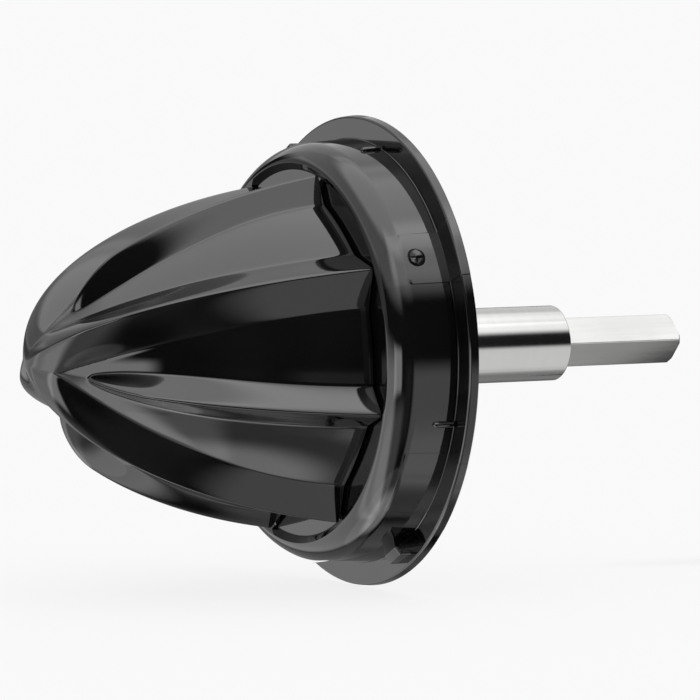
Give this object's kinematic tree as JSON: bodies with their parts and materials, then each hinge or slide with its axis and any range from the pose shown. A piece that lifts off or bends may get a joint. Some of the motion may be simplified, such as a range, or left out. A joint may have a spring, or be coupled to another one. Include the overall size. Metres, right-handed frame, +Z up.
{
  "type": "citrus press reamer",
  "caption": "Ribbed juicing cone on a square-ended drive shaft, turning in a bell-shaped drip collar with a seating flange, bayonet lugs and a drain notch.",
  "frame": {"origin": "centre of the square drive end's face, on the turning axis", "axes": "+X along the turning axis from the cone's tip to the drive end, +Z up as pictured"},
  "size_m": [0.1639, 0.105, 0.105],
  "materials": {
    "gloss_black": "high gloss black moulded plastic with fine handling marks",
    "satin_black": "satin black glass-filled plastic",
    "stainless": "ground and polished stainless steel",
    "zinc_steel": "bright zinc-plated steel",
    "bearing_plastic": "natural bearing plastic",
    "rubber": "black food-grade rubber"
  },
  "bodies": {
    "holder": {"drip_collar": "gloss_black", "bearing_sleeve": "stainless", "rear_bush": "bearing_plastic", "front_bush": "bearing_plastic", "shaft_seal": "rubber", "sleeve_gasket": "rubber", "sleeve_screw_1": "zinc_steel", "sleeve_screw_2": "zinc_steel", "sleeve_screw_3": "zinc_steel"},
    "reamer": {"reamer_cone": "gloss_black", "cone_hub": "satin_black", "hub_screw_1": "zinc_steel", "hub_screw_2": "zinc_steel", "hub_screw_3": "zinc_steel", "hub_screw_4": "zinc_steel", "drive_shaft": "stainless", "cross_pin": "zinc_steel", "hub_washer": "zinc_steel", "hub_bolt": "zinc_steel", "thrust_washer": "bearing_plastic", "retaining_clip": "zinc_steel", "rear_washer": "stainless"}
  },
  "joints": [
    {"name": "reamer_spin", "type": "hinge", "parent": "holder", "child": "reamer", "pos_m": [-0.0807, 0, 0], "axis": [1, 0, 0], "continuous": true}
  ]
}
